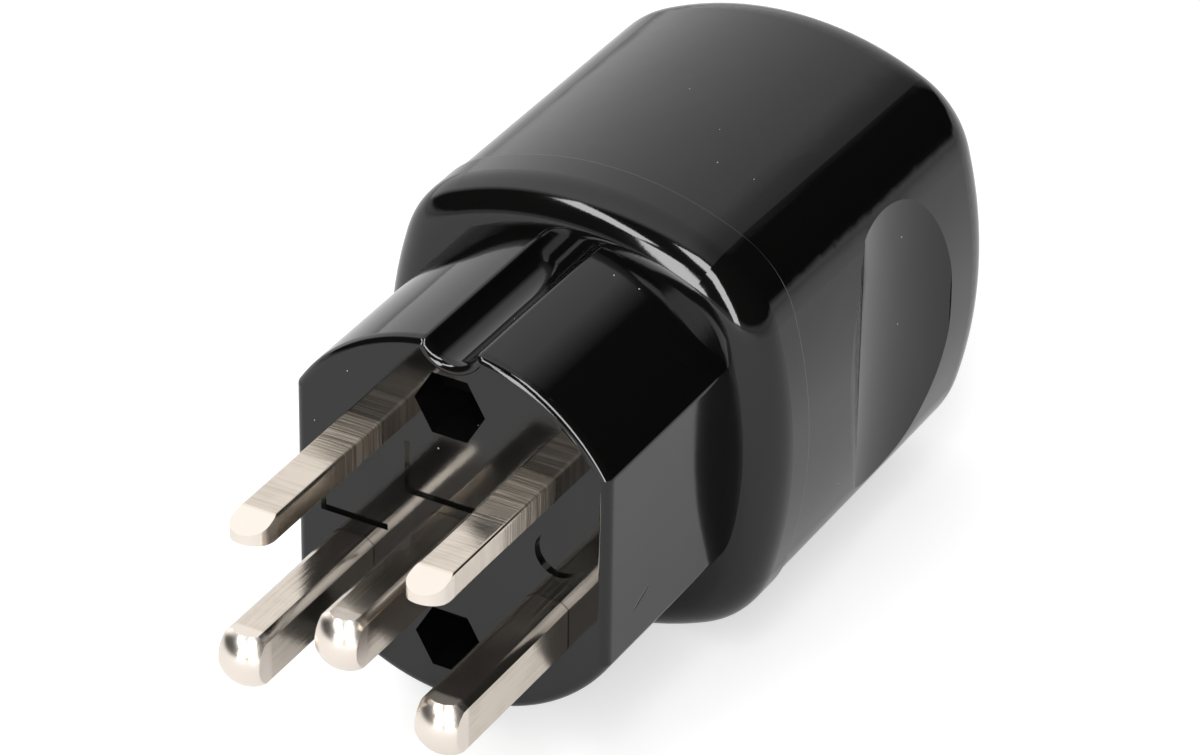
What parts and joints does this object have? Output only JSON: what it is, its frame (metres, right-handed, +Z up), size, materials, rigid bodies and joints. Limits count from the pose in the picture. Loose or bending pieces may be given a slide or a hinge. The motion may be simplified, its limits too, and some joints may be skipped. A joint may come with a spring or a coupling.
{
  "type": "three-phase plug",
  "caption": "Black rewirable five-pin plug: round-nosed and flat pins on a barrel-shaped nose with a key channel, a wider collar and a straight grip hood with a rear cord entry.",
  "frame": {"origin": "centre of the flat engagement face of the nose, on the axis of the plug", "axes": "+X across the plug, +Y from the pins towards the cord entry, +Z up to the key channel"},
  "size_m": [0.0396, 0.0833, 0.0433],
  "materials": {
    "black_moulding": "satin gloss black moulding",
    "inner_moulding": "matt black moulding",
    "plated_brass": "nickel-plated brass with fine milling marks",
    "plated_steel": "zinc-plated",
    "bush_rubber": "matt"
  },
  "bodies": {
    "root": {"front_insert": "black_moulding", "hood": "black_moulding", "clamp_carrier": "inner_moulding", "clamp_bar": "inner_moulding", "pin_l1": "plated_brass", "pin_n": "plated_brass", "pin_pe": "plated_brass", "pin_l2": "plated_brass", "pin_l3": "plated_brass", "terminal_screw_l1": "plated_steel", "terminal_screw_n": "plated_steel", "terminal_screw_pe": "plated_steel", "terminal_screw_l2": "plated_steel", "terminal_screw_l3": "plated_steel", "upper_nut": "plated_steel", "lower_nut": "plated_steel", "upper_hood_screw": "plated_steel", "lower_hood_screw": "plated_steel", "left_plate_screw": "plated_steel", "right_plate_screw": "plated_steel", "left_clamp_screw": "plated_steel", "right_clamp_screw": "plated_steel", "grommet": "bush_rubber"}
  },
  "joints": []
}
